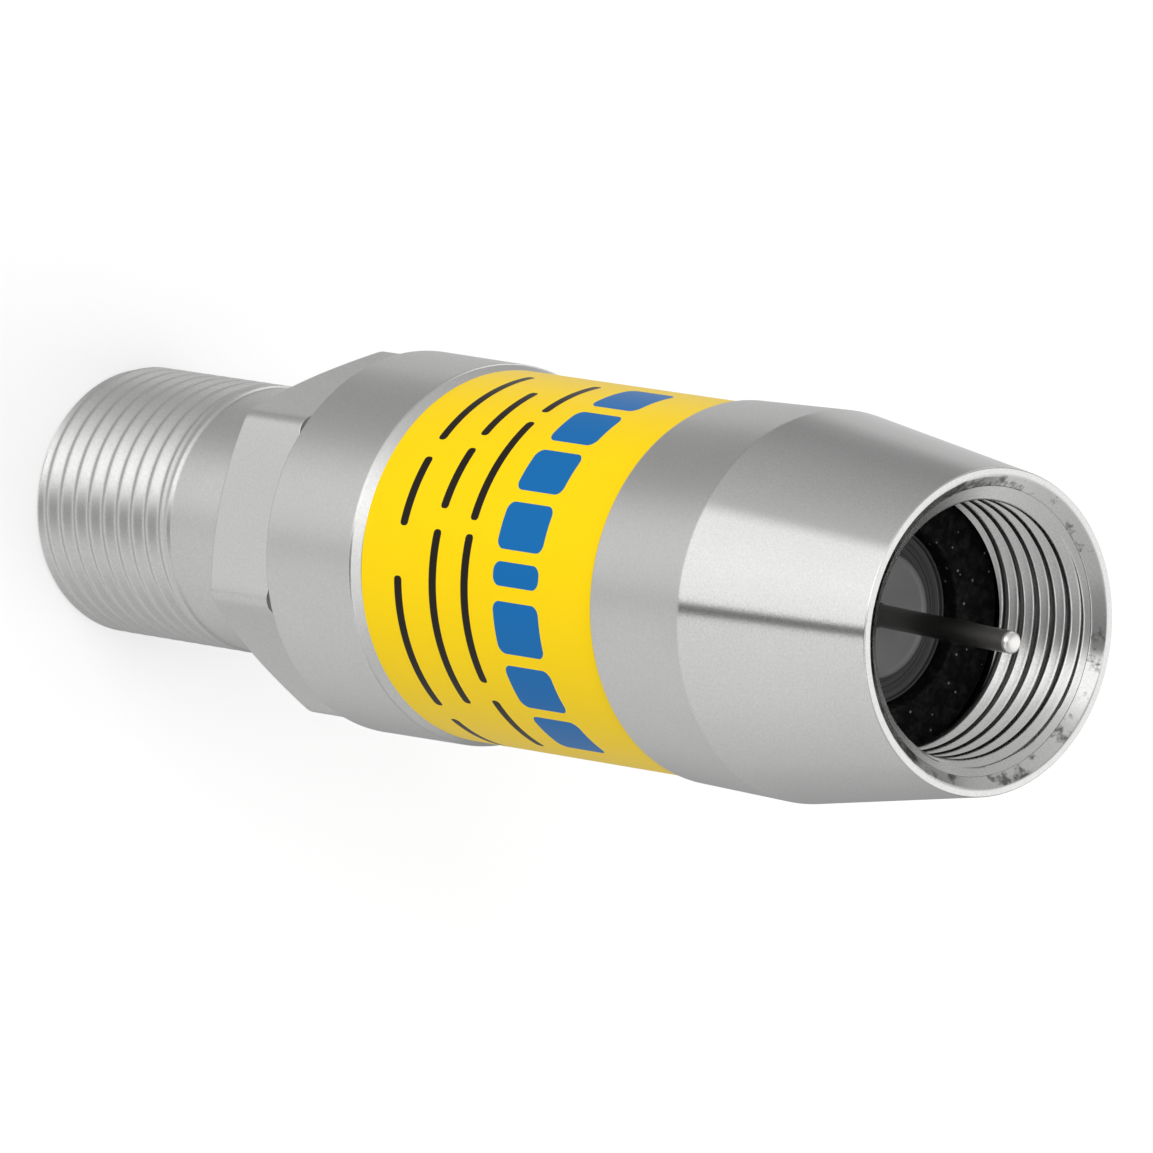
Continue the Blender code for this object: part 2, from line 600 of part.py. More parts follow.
def make_chip_capacitors():
    """Two ceramic chips beside the line, one near each end of the board."""
    low = BOARD_TOP + CLEARANCE
    ends = {"rear": (-1, BOARD_REAR + CHIP_SETBACK), "front": (1, BOARD_FRONT - CHIP_SETBACK)}
    for end, (side, middle) in ends.items():
        ceramic = new_material("chip_ceramic_" + end, (0.45, 0.33, 0.22), 0.5)
        across = side * (BOARD_HALF_WIDTH - CHIP_INSET)
        block("chip_capacitor_" + end,
              (across - CHIP_WIDTH / 2, low, middle - CHIP_LENGTH / 2),
              (across + CHIP_WIDTH / 2, low + CHIP_HEIGHT, middle + CHIP_LENGTH / 2), ceramic)


def make_gas_arrester():
    """Sealed gas arrester below the board: two caps on a ceramic body."""
    ceramic = new_material("arrester_ceramic", (0.80, 0.76, 0.80), 0.4)
    cap = ARRESTER_CAP_LENGTH
    arrester = turned("gas_arrester", [
        (0.0, 0.0),
        (ARRESTER_RADIUS, 0.0),
        (ARRESTER_RADIUS, cap),
        (ARRESTER_CERAMIC_RADIUS, cap),
        (ARRESTER_CERAMIC_RADIUS, ARRESTER_LENGTH - cap),
        (ARRESTER_RADIUS, ARRESTER_LENGTH - cap),
        (ARRESTER_RADIUS, ARRESTER_LENGTH),
        (0.0, ARRESTER_LENGTH),
    ], ceramic, SMALL_SIDES)
    arrester.rotation_euler = (-math.pi / 2, 0.0, 0.0)
    arrester.location = (0.0, ARRESTER_BOTTOM, BOARD_MIDDLE)


def make_earth_spring():
    """Bowed strip from the arrester's lower cap to the wall of the tube."""
    metal = new_material("spring_bronze", (0.70, 0.50, 0.27), 0.3, 1.0)
    steps = 12
    lower = []
    for k in range(steps + 1):
        share = k / steps
        level = SPRING_FOOT + SPRING_RISE * math.sin(math.pi * share)
        lower.append((level, BOARD_MIDDLE + SPRING_LENGTH * (share - 0.5)))
    upper = [(y + SPRING_THICKNESS, z) for y, z in reversed(lower)]
    bm = bmesh.new()
    face = bm.faces.new([bm.verts.new((-SPRING_WIDTH / 2, y, z)) for y, z in lower + upper])
    side = bmesh.ops.extrude_face_region(bm, geom=[face])
    moved = [item for item in side["geom"] if isinstance(item, bmesh.types.BMVert)]
    bmesh.ops.translate(bm, verts=moved, vec=(SPRING_WIDTH, 0.0, 0.0))
    add_mesh("earth_spring", bm, metal)


remove_everything()
make_socket_body()
make_body_seal()
make_socket_insulator()
make_socket_contact()
make_support_bead()
make_housing()
make_label()
make_front_insulator()
make_nose_seal()
make_centre_pin()
make_earth_ring()
make_circuit_board()
make_matching_coil()
make_chip_capacitors()
make_gas_arrester()
make_earth_spring()
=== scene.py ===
"""The looks of a coaxial antenna surge arrester: a nickel-plated adapter with a
threaded socket, a hexagon, a tube with a printed film label and a cone nose.

It stands on its socket end at Z = 0, with the nose at the top, in metres.
"""
import math

import bpy
import numpy as np
from mathutils import Matrix, Vector


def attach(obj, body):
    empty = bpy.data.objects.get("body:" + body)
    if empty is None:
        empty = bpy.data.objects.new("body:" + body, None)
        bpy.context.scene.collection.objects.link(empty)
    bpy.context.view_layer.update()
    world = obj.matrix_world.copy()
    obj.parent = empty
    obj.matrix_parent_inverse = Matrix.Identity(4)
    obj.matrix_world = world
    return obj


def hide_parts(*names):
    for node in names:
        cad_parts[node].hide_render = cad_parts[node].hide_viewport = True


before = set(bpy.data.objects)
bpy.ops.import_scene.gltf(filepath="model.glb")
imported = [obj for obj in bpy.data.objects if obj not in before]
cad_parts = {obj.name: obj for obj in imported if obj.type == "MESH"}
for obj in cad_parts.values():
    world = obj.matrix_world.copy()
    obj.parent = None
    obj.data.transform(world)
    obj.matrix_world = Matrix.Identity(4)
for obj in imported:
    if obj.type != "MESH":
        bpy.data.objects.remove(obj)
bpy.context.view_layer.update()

MM = 0.001

# Camera. The picture is taken from in front and above with a long lens, and
# the camera is rolled so far that the standing adapter lies on its side.
CAMERA_AZIMUTH = math.radians(3.164)
CAMERA_ELEVATION = math.radians(49.039)
CAMERA_ROLL = math.radians(98.979)
CAMERA_DISTANCE = 0.624
CAMERA_AIM = Vector((0.000265, 0.000759, 0.02328))
CAMERA_LENS = 562.0

backward = Vector((math.sin(CAMERA_AZIMUTH) * math.cos(CAMERA_ELEVATION),
                   -math.cos(CAMERA_AZIMUTH) * math.cos(CAMERA_ELEVATION),
                   math.sin(CAMERA_ELEVATION)))
level = Vector((math.cos(CAMERA_AZIMUTH), math.sin(CAMERA_AZIMUTH), 0))
rolled = level * math.cos(CAMERA_ROLL) + backward.cross(level) * math.sin(CAMERA_ROLL)
camera_data = bpy.data.cameras.new("camera")
camera_data.lens = CAMERA_LENS
camera_data.sensor_width = 36
camera_data.clip_start = 0.01
camera_data.clip_end = 20
camera = bpy.data.objects.new("camera", camera_data)
turn = Matrix((rolled, backward.cross(rolled), backward)).transposed().to_4x4()
camera.matrix_world = Matrix.Translation(CAMERA_AIM + backward * CAMERA_DISTANCE) @ turn
bpy.context.scene.collection.objects.link(camera)
bpy.context.scene.camera = camera
bpy.context.scene.view_settings.view_transform = "Standard"


# Studio floor. A plain white table top; it takes the shadow, and metal sees
# past it into the light tent below.
FLOOR_HALF = 1.5
FLOOR_DROP = 0.02 * MM
FLOOR_COLOUR = "#EEEEEE"
FLOOR_GLOW = 0.45


def linear(code):
    """sRGB hex colour to linear: c / 12.92 up to 0.04045, above it ((c + 0.055) / 1.055) to the
    power 2.4."""
    c = np.array([int(code[k:k + 2], 16) for k in (1, 3, 5)]) / 255
    return (*np.where(c <= 0.04045, c / 12.92, ((c + 0.055) / 1.055) ** 2.4), 1)


def add(tree, kind, inputs=(), **settings):
    """Adds one node with its settings; inputs pairs an input's name or number with a value or a socket."""
    node = tree.nodes.new("ShaderNode" + kind)
    for name, value in settings.items():
        setattr(node, name, value)
    for key, value in dict(inputs).items():
        if isinstance(value, bpy.types.NodeSocket):
            tree.links.new(value, node.inputs[key])
        else:
            node.inputs[key].default_value = value
    return node


def place(name, points, faces, material):
    """Makes an object at the origin from an array of points and lists of corner numbers."""
    mesh = bpy.data.meshes.new(name)
    mesh.from_pydata(points, [], faces)
    mesh.materials.append(material)
    piece = bpy.data.objects.new(name, mesh)
    bpy.context.scene.collection.objects.link(piece)
    return piece


def painted_table():
    """Matt white lacquer; the camera sees it as paper white where no shadow falls, because FLOOR_GLOW of
    what it sees is plain white."""
    material = bpy.data.materials.new("matt_white_lacquer")
    material.use_nodes = True
    tree = material.node_tree
    tree.nodes.clear()
    matt = add(tree, "BsdfDiffuse", {"Color": linear(FLOOR_COLOUR)})
    seen = add(tree, "LightPath").outputs["Is Camera Ray"]
    glow = add(tree, "Emission", {"Color": (1, 1, 1, 1), "Strength": seen})
    both = add(tree, "MixShader", {0: FLOOR_GLOW, 1: matt.outputs[0], 2: glow.outputs[0]})
    add(tree, "OutputMaterial", {"Surface": both.outputs[0]})
    return material


floor = place("floor", [(x * FLOOR_HALF, y * FLOOR_HALF, -FLOOR_DROP)
                        for x, y in ((-1, -1), (1, -1), (1, 1), (-1, 1))],
              [(0, 1, 2, 3)], painted_table())
floor.visible_glossy = False


# Light tent. White cloth all round with one bright panel in front and dark
# gaps beside it; metal mirrors it as bands, and the rest is lit evenly.
TENT_DIFFUSE = 0.56
TENT_RANGE = 2.0
# Degrees round from the front towards -X, and the tone of the cloth there
TENT_FLOOR = ((-180, 0.35), (-164, 0.37), (-150, 0.46), (-134, 0.55), (-120, 0.655), (-104, 0.725),
              (-90, 0.77), (-60, 0.85), (-30, 0.85), (-20, 0.84), (-16, 0.62), (-12, 0.62), (-8, 0.82),
              (0, 0.85), (15, 0.88), (30, 0.84), (45, 0.66), (56, 0.48), (75, 0.43), (95, 0.42),
              (108, 0.48), (118, 0.72), (134, 0.70), (150, 0.67), (164, 0.67), (180, 0.70))
TENT_LOW = ((-180, 0.36), (-164, 0.36), (-149, 0.39), (-136, 0.52), (-121, 0.60), (-108, 0.71),
            (-95, 0.78), (-60, 0.94), (-30, 1.04), (-17, 1.08), (-16, 0.16), (-11, 0.16), (-10, 1.34),
            (13, 1.43), (38, 1.36), (45, 0.74), (66, 0.60), (81, 0.52), (96, 0.44), (108, 0.39),
            (121, 0.38), (136, 0.61), (149, 0.63), (164, 0.60), (180, 0.60))
TENT_LEVEL = ((-180, 0.42), (-134, 0.42), (-93, 0.47), (-71, 0.56), (-52, 0.86), (-42, 0.98),
              (-34, 0.82), (-27, 0.34), (-16, 0.10), (-6, 0.06), (-2, 0.72), (4, 1.98), (16, 1.94),
              (28, 1.70), (38, 1.20), (50, 0.85), (62, 0.65), (74, 0.53), (86, 0.51), (96, 0.95),
              (108, 1.75), (120, 2.00), (136, 2.00), (180, 1.60))
TENT_HIGH = ((-180, 0.40), (-131, 0.32), (-120, 0.55), (-109, 0.71), (-97, 0.78), (-84, 0.86),
             (-69, 0.88), (-53, 1.02), (-38, 1.55), (-18, 1.70), (0, 1.90), (18, 1.95), (36, 1.40),
             (53, 0.86), (69, 0.74), (84, 0.68), (97, 0.63), (109, 0.53), (120, 0.47), (131, 0.33),
             (180, 0.40))
TENT_TOP = ((-180, 1.40), (-168, 1.30), (-150, 1.05), (-120, 0.78), (-80, 0.66), (-58, 0.60),
            (-44, 0.42), (-14, 0.28), (0, 0.28), (8, 1.60), (38, 1.60), (60, 0.85), (103, 0.66),
            (130, 0.60), (150, 1.00), (168, 1.35), (180, 1.40))
# Table, the lean of its lower seam towards the front, and the heights between which the seam runs
TENT_BANDS = ((TENT_FLOOR, 0.0, -0.92, -0.87), (TENT_LOW, 0.0, -0.70, -0.64),
              (TENT_LEVEL, 0.0, -0.42, -0.32), (TENT_HIGH, 0.42, 0.08, 0.16),
              (TENT_TOP, 0.42, 0.40, 0.43))
TENT_BELOW = 0.62
TENT_TURN = math.radians(1.9)
# Name, place, width and power in watts
LAMPS = (("key_lamp", (-0.32, -0.95, 0.62), 1.0, 8.1),
         ("back_lamp", (0.35, 1.00, 0.70), 1.0, 4.5),
         ("top_lamp", (0.0, -0.05, 1.25), 1.2, 8.1))


def tones_round(tree, turn_share, stops):
    """Tone of the tent's cloth by direction round the object, read straight between the stops."""
    ramp = add(tree, "ValToRGB", {0: turn_share})
    marks = ramp.color_ramp.elements
    for k, (degrees, tone) in enumerate(stops):
        mark = marks[k] if k < 2 else marks.new(1.0)
        mark.position = (degrees + 180) / 360
        grey = tone / TENT_RANGE
        mark.color = (grey, grey, grey, 1)
    return ramp.outputs[0]


def light_tent():
    """World of the studio: white to the camera, even to matt surfaces, cloth and gaps to mirrors."""
    world = bpy.data.worlds.new("light_tent")
    world.use_nodes = True
    world.cycles.sampling_method = "NONE"
    tree = world.node_tree
    tree.nodes.clear()
    way = add(tree, "SeparateXYZ", {0: add(tree, "TexCoord").outputs["Generated"]})
    x_back = add(tree, "Math", {0: way.outputs["X"], 1: -1.0}, operation="MULTIPLY")
    y_back = add(tree, "Math", {0: way.outputs["Y"], 1: -1.0}, operation="MULTIPLY")
    around = add(tree, "Math", {0: x_back.outputs[0], 1: y_back.outputs[0]}, operation="ARCTAN2")
    share = add(tree, "MapRange", {0: around.outputs[0], 1: -math.pi - TENT_TURN, 2: math.pi - TENT_TURN})
    below = TENT_BELOW / TENT_RANGE
    cloth = add(tree, "RGB").outputs[0]
    cloth.default_value = (below, below, below, 1)
    for stops, lean, low, high in TENT_BANDS:
        level = add(tree, "Math", {0: way.outputs["Y"], 1: lean, 2: way.outputs["Z"]},
                    operation="MULTIPLY_ADD")
        rise = add(tree, "MapRange", {0: level.outputs[0], 1: low, 2: high})
        above = tones_round(tree, share.outputs[0], stops)
        cloth = add(tree, "Mix", {0: rise.outputs[0], 6: cloth, 7: above}, data_type="RGBA").outputs[2]
    tone = add(tree, "Math", {0: cloth, 1: TENT_RANGE}, operation="MULTIPLY")
    path = add(tree, "LightPath")
    mirror = add(tree, "Math", {0: path.outputs["Is Glossy Ray"], 1: path.outputs["Is Transmission Ray"]},
                 operation="MAXIMUM")
    plain = add(tree, "Mix", {0: path.outputs["Is Camera Ray"], 2: TENT_DIFFUSE, 3: 1.0}, data_type="FLOAT")
    strength = add(tree, "Mix", {0: mirror.outputs[0], 2: plain.outputs[0], 3: tone.outputs[0]},
                   data_type="FLOAT")
    glow = add(tree, "Background", {"Color": (1, 1, 1, 1), "Strength": strength.outputs[0]})
    add(tree, "OutputWorld", {"Surface": glow.outputs[0]})
    return world


bpy.context.scene.world = light_tent()
for name, spot, size, power in LAMPS:
    lamp_data = bpy.data.lights.new(name, "AREA")
    lamp_data.size = size
    lamp_data.energy = power
    lamp = bpy.data.objects.new(name, lamp_data)
    lamp.location = spot
    lamp.rotation_euler = (CAMERA_AIM - Vector(spot)).to_track_quat("-Z", "Y").to_euler()
    lamp.visible_glossy = False
    bpy.context.scene.collection.objects.link(lamp)


# Socket body. One brass bar turned and milled: threaded barrel, smooth neck,
# hexagon and the spigot inside the tube; nickel-plated to a satin sheen.
THREAD_PITCH = 25.4 / 32 * MM
THREAD_OUTER = 4.76 * MM
THREAD_INNER = 4.61 * MM
THREAD_START = 0.04 * MM
THREAD_END = 7.35 * MM
THREAD_FADE = 0.3 * MM
# The cut's depth by shares of a turn, the width of its wear, where a turn starts, and rows to a turn
BARREL_THREAD = ((0.0, 0.0), (0.12, 0.0), (0.62, 1.0), (0.74, 1.0), (1.0, 0.0))
BARREL_WEAR = 0.09
BARREL_PHASE = -0.04
BARREL_ROWS = 22
BARREL_CHAMFER = 0.15 * MM
HEX_REAR = 11.22 * MM
HEX_FRONT = 15.23 * MM
HEX_CORNER = 6.55 * MM
HEX_EDGE_ROUND = 0.60 * MM
HEX_EDGE_BREAK = 0.03 * MM
HEX_REAR_CUT = 0.05 * MM
HEX_FRONT_BREAK = 0.02 * MM
HEX_RELIEF_RADIUS = 6.24 * MM
HEX_RELIEF_DEPTH = 0.44 * MM
HEX_RELIEF_STEP = 0.06 * MM
SHARP_EDGE = math.radians(50)


def turned(name, radii, heights, angles, material, on_axis=False):
    """Solid of turning, wavy if need be: the point in row i and column j lies at
    (radii cos angle, radii sin angle, heights). Rows close into a ring, or end in a pole on the axis."""
    radii, heights = np.broadcast_arrays(np.asarray(radii, float), np.asarray(heights, float))
    if radii.ndim == 1:
        radii, heights = [np.repeat(a[:, None], len(angles), 1) for a in (radii, heights)]
    rows, columns = radii.shape
    points = np.stack([radii * np.cos(angles), radii * np.sin(angles), heights], -1).reshape(-1, 3)
    number = np.arange(rows * columns).reshape(rows, columns)
    after = np.roll(number, -1, 1)
    if on_axis:
        quads = np.stack([number[:-1], after[:-1], after[1:], number[1:]], -1).reshape(-1, 4)
        low, high = rows * columns, rows * columns + 1
        points = np.vstack([points, (0, 0, heights[0].mean()), (0, 0, heights[-1].mean())])
        caps = np.vstack([np.stack([after[0], number[0], np.full(columns, low)], -1),
                          np.stack([number[-1], after[-1], np.full(columns, high)], -1)])
        faces = quads.tolist() + caps.tolist()
    else:
        up, up_after = np.roll(number, -1, 0), np.roll(after, -1, 0)
        faces = np.stack([number, after, up_after, up], -1).reshape(-1, 4).tolist()
    piece = place(name, points, faces, material)
    piece.data.shade_smooth()
    return piece


def soft_outline(corners, easing, steps=4):
    """Closed outline with each corner eased: from a, the point one easing before corner c, to b, one past
    it, the points are (1 - t)^2 a + 2 t (1 - t) c + t^2 b, with one more point a little before and after.
    The easing is never more than 0.3 of the shorter side. Returns radii and heights."""
    corners = np.array(corners, float)
    before = np.roll(corners, 1, 0) - corners
    after = np.roll(corners, -1, 0) - corners
    reach_before = np.linalg.norm(before, axis=1)
    reach_after = np.linalg.norm(after, axis=1)
    ease = np.minimum(easing, 0.3 * np.minimum(reach_before, reach_after))[:, None]
    before /= reach_before[:, None]
    after /= reach_after[:, None]
    t = np.linspace(0, 1, steps)[None, :, None]
    a = (corners + before * ease)[:, None]
    b = (corners + after * ease)[:, None]
    curve = (1 - t) ** 2 * a + 2 * t * (1 - t) * corners[:, None] + t ** 2 * b
    rows = np.concatenate([a + before[:, None] * ease[:, None] * 0.5, curve,
                           b + after[:, None] * ease[:, None] * 0.5], 1)
    rows = rows.reshape(-1, 2)
    return rows[:, 0], rows[:, 1]


def thread_depth(turns, stops, blur):
    """Depth of a cut thread by turns along the axis, 0 at the crest and 1 at the root: read straight
    between the stops, each a share of the turn and the depth there, and softened by a running mean over
    twice blur."""
    shares, depths = np.array(stops).T
    spread = np.linspace(-blur, blur, 9)[:, None, None]
    return np.interp((turns + spread) % 1, shares, depths).mean(0)


def radius_of(tree, where):
    """Distance from the axis: the length of (x, y, 0)."""
    flat = add(tree, "VectorMath", {0: where, 1: (1, 1, 0)}, operation="MULTIPLY")
    return add(tree, "VectorMath", {0: flat.outputs[0]}, operation="LENGTH").outputs["Value"]


def tint_over(material, share, colour):
    """Lays a colour over the material's own: share is the node whose first output says how much."""
    tree = material.node_tree
    base = tree.nodes["Principled BSDF"].inputs["Base Color"]
    mixed = add(tree, "Mix", {0: share.outputs[0], 6: base.links[0].from_socket, 7: linear(colour)},
                data_type="RGBA")
    tree.links.new(mixed.outputs[2], base)


# How far a turning mark runs across the bar, how wide the tone's drift is, and how soft the borders
# between finishes are, along the axis and outwards
RING_REACH = 25 * MM
DRIFT_WIDTH = 3.846 * MM
HEIGHT_BLEND = 0.1 * MM
RADIUS_BLEND = 0.05 * MM


def satin_nickel(name, colour, roughness, ring_width, grain_width, ring_depth, grain_depth, polish=None):
    """Nickel plate on turned brass: a pale grey mirror, blurred and flecked by a fine grain, with faint
    rings left by the turning tool and a tone that drifts a little from place to place. The real grain is
    finer: it is drawn as coarse as it needs to show. The share of the second colour is 2 grain +
    0.5 clouds - 0.75, and the roughness is the given one + 0.1 grain - 0.05. Polish is a height, the
    roughness above it, the radius of the cut bore there, and the bore's roughness."""
    material = bpy.data.materials.new(name)
    material.use_nodes = True
    tree = material.node_tree
    shader = tree.nodes["Principled BSDF"]
    where = add(tree, "TexCoord").outputs["Object"]
    squeezed = add(tree, "Mapping", {0: where, 3: (1 / RING_REACH, 1 / RING_REACH, 1 / ring_width)})
    rings = add(tree, "TexNoise", {"Vector": squeezed.outputs[0], "Scale": 1.0, "Detail": 3.0,
                                   "Roughness": 0.6})
    grain = add(tree, "TexNoise", {"Vector": where, "Scale": 1 / grain_width, "Detail": 3.0,
                                   "Roughness": 0.65})
    clouds = add(tree, "TexNoise", {"Vector": where, "Scale": 1 / DRIFT_WIDTH, "Detail": 3.0})
    drift = add(tree, "Math", {0: clouds.outputs["Fac"], 1: 0.5, 2: -0.75}, operation="MULTIPLY_ADD")
    fleck = add(tree, "Math", {0: grain.outputs["Fac"], 1: 2.0, 2: drift.outputs[0]},
                operation="MULTIPLY_ADD")
    tint = add(tree, "Mix", {0: fleck.outputs[0], 6: linear(colour[0]), 7: linear(colour[1])},
               data_type="RGBA")
    gloss = add(tree, "Math", {0: grain.outputs["Fac"], 1: 0.10, 2: roughness - 0.05},
                operation="MULTIPLY_ADD")
    if polish:
        polish_height, polish_roughness, bore_radius, bore_roughness = polish
        height = add(tree, "SeparateXYZ", {0: where}).outputs["Z"]
        radius = radius_of(tree, where)
        outer = add(tree, "MapRange", {0: radius, 1: bore_radius - RADIUS_BLEND,
                                       2: bore_radius + RADIUS_BLEND,
                                       3: bore_roughness - roughness, 4: polish_roughness - roughness})
        above = add(tree, "MapRange", {0: height, 1: polish_height - HEIGHT_BLEND,
                                       2: polish_height + HEIGHT_BLEND})
        gloss = add(tree, "Math", {0: outer.outputs[0], 1: above.outputs[0], 2: gloss.outputs[0]},
                    operation="MULTIPLY_ADD")
    ringed = add(tree, "Bump", {"Height": rings.outputs["Fac"], "Strength": 1.0, "Distance": ring_depth})
    grained = add(tree, "Bump", {"Height": grain.outputs["Fac"], "Strength": 1.0, "Distance": grain_depth,
                                 "Normal": ringed.outputs[0]})
    tree.links.new(tint.outputs[2], shader.inputs["Base Color"])
    tree.links.new(gloss.outputs[0], shader.inputs["Roughness"])
    tree.links.new(grained.outputs[0], shader.inputs["Normal"])
    shader.inputs["Metallic"].default_value = 1.0
    return material


# Columns: close together beside the hexagon's corners, two degrees apart between them
sector = np.concatenate([[0, 0.3, 0.6, 0.9, 1.25, 1.7], np.linspace(2.2, 57.8, 28),
                         [58.3, 58.75, 59.1, 59.4, 59.7]])
hex_angles = np.radians((sector[None, :] + 60 * np.arange(6)[:, None]).ravel())


def hexagon_radius(angles):
    """Distance from the axis to a hexagon: flat / cos(angle from the flat's middle), and an arc of
    HEX_EDGE_ROUND over each corner."""
    off_corner = np.abs((angles + math.pi / 6) % (math.pi / 3) - math.pi / 6)
    flat = HEX_CORNER * math.cos(math.pi / 6)
    straight = flat / np.cos(math.pi / 6 - off_corner)
    centre = HEX_CORNER - HEX_EDGE_ROUND / math.cos(math.pi / 6)
    arc = centre * np.cos(off_corner) + np.sqrt(np.maximum(
        HEX_EDGE_ROUND ** 2 - (centre * np.sin(off_corner)) ** 2, 0))
    touch = math.atan2(HEX_EDGE_ROUND / 2, centre + HEX_EDGE_ROUND * math.cos(math.pi / 6))
    return np.where(off_corner < touch, arc, straight)


def socket_body_rows():
    """Radii and heights of the socket body, from the mouth outwards, over the outside and back down the
    bore. The barrel's radius is the outer one less the thread's depth, with long worn flanks that face the
    neck and short ones that face the mouth, cut by the end chamfer and faded out at the neck. The hexagon
    is cut by a 30 degree cone behind. In front, where it stands out past the relief's radius, it ends at a
    ledge HEX_RELIEF_DEPTH lower down."""
    columns = len(hex_angles)
    heights = np.arange(THREAD_START, THREAD_END, THREAD_PITCH / BARREL_ROWS)[:, None] * np.ones(columns)
    turns = heights / THREAD_PITCH - hex_angles / (2 * math.pi) + BARREL_PHASE
    fade = np.clip((THREAD_END - heights) / THREAD_FADE, 0, 1)
    depth = thread_depth(turns, BARREL_THREAD, BARREL_WEAR) * fade
    barrel = THREAD_OUTER - (THREAD_OUTER - THREAD_INNER) * depth
    barrel = np.minimum(barrel, THREAD_OUTER - BARREL_CHAMFER + heights)
    hexagon = hexagon_radius(hex_angles)
    flat = hexagon.min()
    slope = math.tan(math.radians(30))
    cut = (hexagon - flat + HEX_REAR_CUT) * slope
    ones = np.ones(columns)
    rows = [(3.50, 0.06), (3.56, 0.0), (4.30, 0.0), (4.38, 0.0), (4.41, 0.01), (4.44, 0.025)]
    low_end = [(r * MM * ones, z * MM * ones) for r, z in rows]
    rows = [(4.75, 7.36), (4.755, 7.40), (4.75, 7.43), (4.69, 7.49), (4.68, 7.53), (4.68, 7.60),
            (4.68, 10.94), (4.68, 11.08), (4.70, 11.16), (4.76, 11.21), (4.84, 11.22), (4.95, 11.22)]
    neck = [(r * MM * ones, z * MM * ones) for r, z in rows]
    soft = HEX_EDGE_BREAK
    # From the rear face up the cone to its broken edge
    hexed = [((flat - 0.12 * MM) * ones, HEX_REAR * ones), ((flat - HEX_REAR_CUT) * ones, HEX_REAR * ones),
             (hexagon - 0.2 * (hexagon - flat) - soft, HEX_REAR + 0.8 * cut - soft * slope),
             (hexagon - soft, HEX_REAR + cut - soft * slope),
             (hexagon - 0.004 * MM, HEX_REAR + cut + 0.2 * soft),
             (hexagon, HEX_REAR + cut + soft), (hexagon, HEX_REAR + cut + 3 * soft)]
    # From the flats to the ledge's broken edge, in over the ledge and up the relief to the front face
    past = np.clip((hexagon - HEX_RELIEF_RADIUS) / HEX_RELIEF_STEP, 0, 1)
    ledge = HEX_FRONT - HEX_FRONT_BREAK - HEX_RELIEF_DEPTH * past
    boss = np.minimum(hexagon, HEX_RELIEF_RADIUS)
    hexed += [(hexagon, ledge - 3 * soft), (hexagon, ledge - soft),
              (hexagon - 0.2 * soft, ledge - 0.2 * soft), (hexagon - soft, ledge),
              (boss - 0.04 * MM, ledge), (boss - 0.06 * MM, ledge + HEX_FRONT_BREAK),
              (boss - 0.08 * MM, HEX_FRONT * ones),
              (np.minimum(boss - 0.1 * MM, 6.0 * MM), HEX_FRONT * ones)]
    rows = [(5.60, 15.23), (5.60, 15.26), (5.60, 16.40), (5.60, 16.43), (4.56, 16.43), (4.50, 16.46),
            (4.50, 17.80), (4.53, 17.83), (5.57, 17.83), (5.60, 17.86), (5.60, 18.36), (5.53, 18.43),
            (3.75, 18.43), (3.70, 18.38), (3.70, 13.96), (3.67, 13.93), (2.83, 13.93), (2.80, 13.90),
            (2.80, 2.95), (2.85, 2.90), (3.47, 2.90), (3.50, 2.87)]
    inside = [(r * MM * ones, z * MM * ones) for r, z in rows]
    parts = low_end + [(barrel, heights)] + neck + hexed + inside
    return (np.vstack([np.atleast_2d(part[0]) for part in parts]),
            np.vstack([np.atleast_2d(part[1]) for part in parts]))


socket_nickel = satin_nickel("satin_nickel_plate", ("#D0D0CF", "#BFBFBE"), roughness=0.37,
                             ring_width=0.05 * MM, grain_width=0.09 * MM, ring_depth=0.0012 * MM,
                             grain_depth=0.0016 * MM)
body_radii, body_heights = socket_body_rows()
socket_body = turned("turned_socket_body", body_radii, body_heights, hex_angles, socket_nickel)
socket_body.data.set_sharp_from_angle(angle=SHARP_EDGE)
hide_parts("socket_body")
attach(socket_body, "root")


# Body seal. A small nitrile ring in the spigot's groove; it stays the CAD ring
# and only gets its rubber.
SHADE_WIDTH = 0.667 * MM


def moulded(name, colour, roughness, grain_width, grain_depth, specular=0.5):
    """Moulded plastic or rubber: one colour a shade apart in patches, a fine pebble, an uneven gloss."""
    material = bpy.data.materials.new(name)
    material.use_nodes = True
    tree = material.node_tree
    shader = tree.nodes["Principled BSDF"]
    where = add(tree, "TexCoord").outputs["Object"]
    pebble = add(tree, "TexNoise", {"Vector": where, "Scale": 1 / grain_width, "Detail": 4.0,
                                    "Roughness": 0.6})
    patches = add(tree, "TexNoise", {"Vector": where, "Scale": 1 / SHADE_WIDTH, "Detail": 2.0})
    tint = add(tree, "Mix", {0: patches.outputs["Fac"], 6: linear(colour[0]), 7: linear(colour[1])},
               data_type="RGBA")
    gloss = add(tree, "Math", {0: pebble.outputs["Fac"], 1: 0.2, 2: roughness - 0.1},
                operation="MULTIPLY_ADD")
    bumped = add(tree, "Bump", {"Height": pebble.outputs["Fac"], "Strength": 1.0, "Distance": grain_depth})
    tree.links.new(tint.outputs[2], shader.inputs["Base Color"])
    tree.links.new(gloss.outputs[0], shader.inputs["Roughness"])
    tree.links.new(bumped.outputs[0], shader.inputs["Normal"])
    shader.inputs["Specular IOR Level"].default_value = specular
    return material


def finish_node(name, material):
    """Gives a CAD solid its finish; its shape stays as it is."""
    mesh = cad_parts[name].data
    mesh.materials.clear()
    mesh.materials.append(material)


nitrile = moulded("nitrile_rubber", ("#1B1B1C", "#242425"), roughness=0.55, grain_width=0.05 * MM,
                  grain_depth=0.002 * MM)
finish_node("body_o_ring", nitrile)


